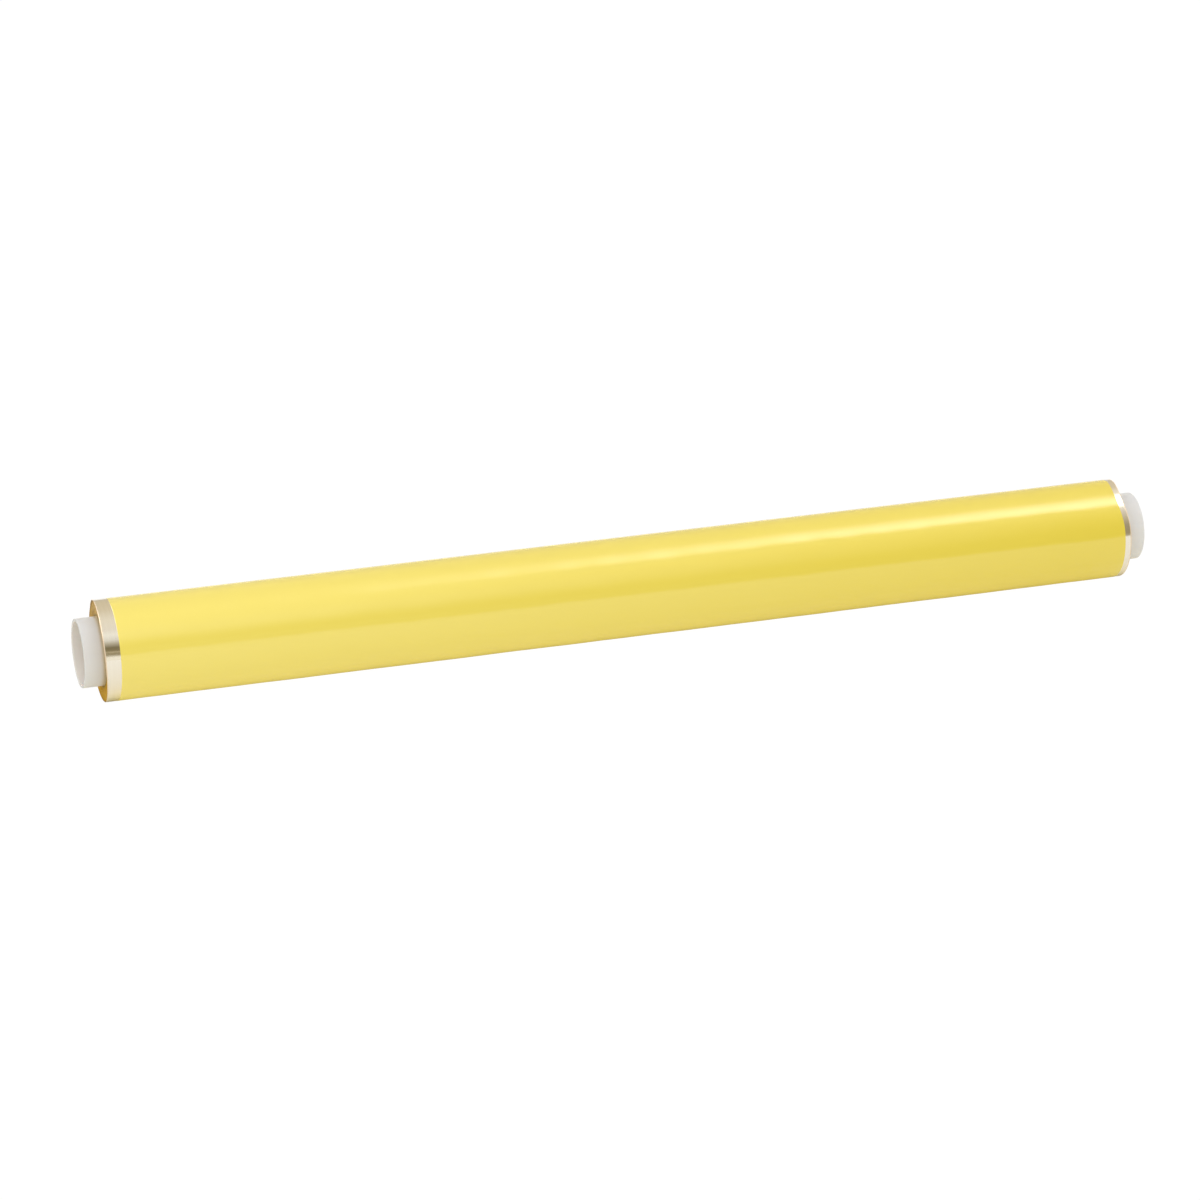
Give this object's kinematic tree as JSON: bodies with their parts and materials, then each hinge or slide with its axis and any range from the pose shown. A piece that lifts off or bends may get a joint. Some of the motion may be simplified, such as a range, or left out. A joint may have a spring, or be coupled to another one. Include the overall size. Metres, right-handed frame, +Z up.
{
  "type": "roll of sign film",
  "caption": "Roll of glossy colour film for sign making, wound on an open plastic core that stands out at both ends, with a taped free end.",
  "frame": {"origin": "middle of the core tube, on its axis", "axes": "+X along the core's axis, +Z up, the front of the roll faces -Y and the free end lies on the back, which faces +Y"},
  "size_m": [0.325, 0.0302, 0.0298],
  "materials": {
    "core_plastic": "milky translucent white plastic, satin",
    "anchor_adhesive": "thin double-sided adhesive strip",
    "wound_film": "stacked film edges, gold-brown satin",
    "carrier_film": "bare clear film over many turns, bright silvery gloss",
    "yellow_coat": "smooth yellow colour coat, high gloss with faint ripples",
    "clear_tape": "clear adhesive tape"
  },
  "bodies": {
    "roll": {"core_tube": "core_plastic", "anchor_strip": "anchor_adhesive", "film_winding": "wound_film", "outer_turn": "carrier_film", "colour_coat": "yellow_coat"},
    "tail": {"film_tail": "carrier_film", "tail_coat": "yellow_coat", "closing_tape": "clear_tape"},
    "tab": {"tape_tab": "clear_tape"}
  },
  "joints": [
    {"name": "tail_lift", "type": "hinge", "parent": "roll", "child": "tail", "pos_m": [0, 0.00702, 0.01321], "axis": [1, 0, 0], "range_deg": [0, 75]},
    {"name": "tab_peel", "type": "hinge", "parent": "tail", "child": "tab", "pos_m": [0, 0.01497, 0.00318], "axis": [1, 0, 0], "range_deg": [0, 110]}
  ]
}
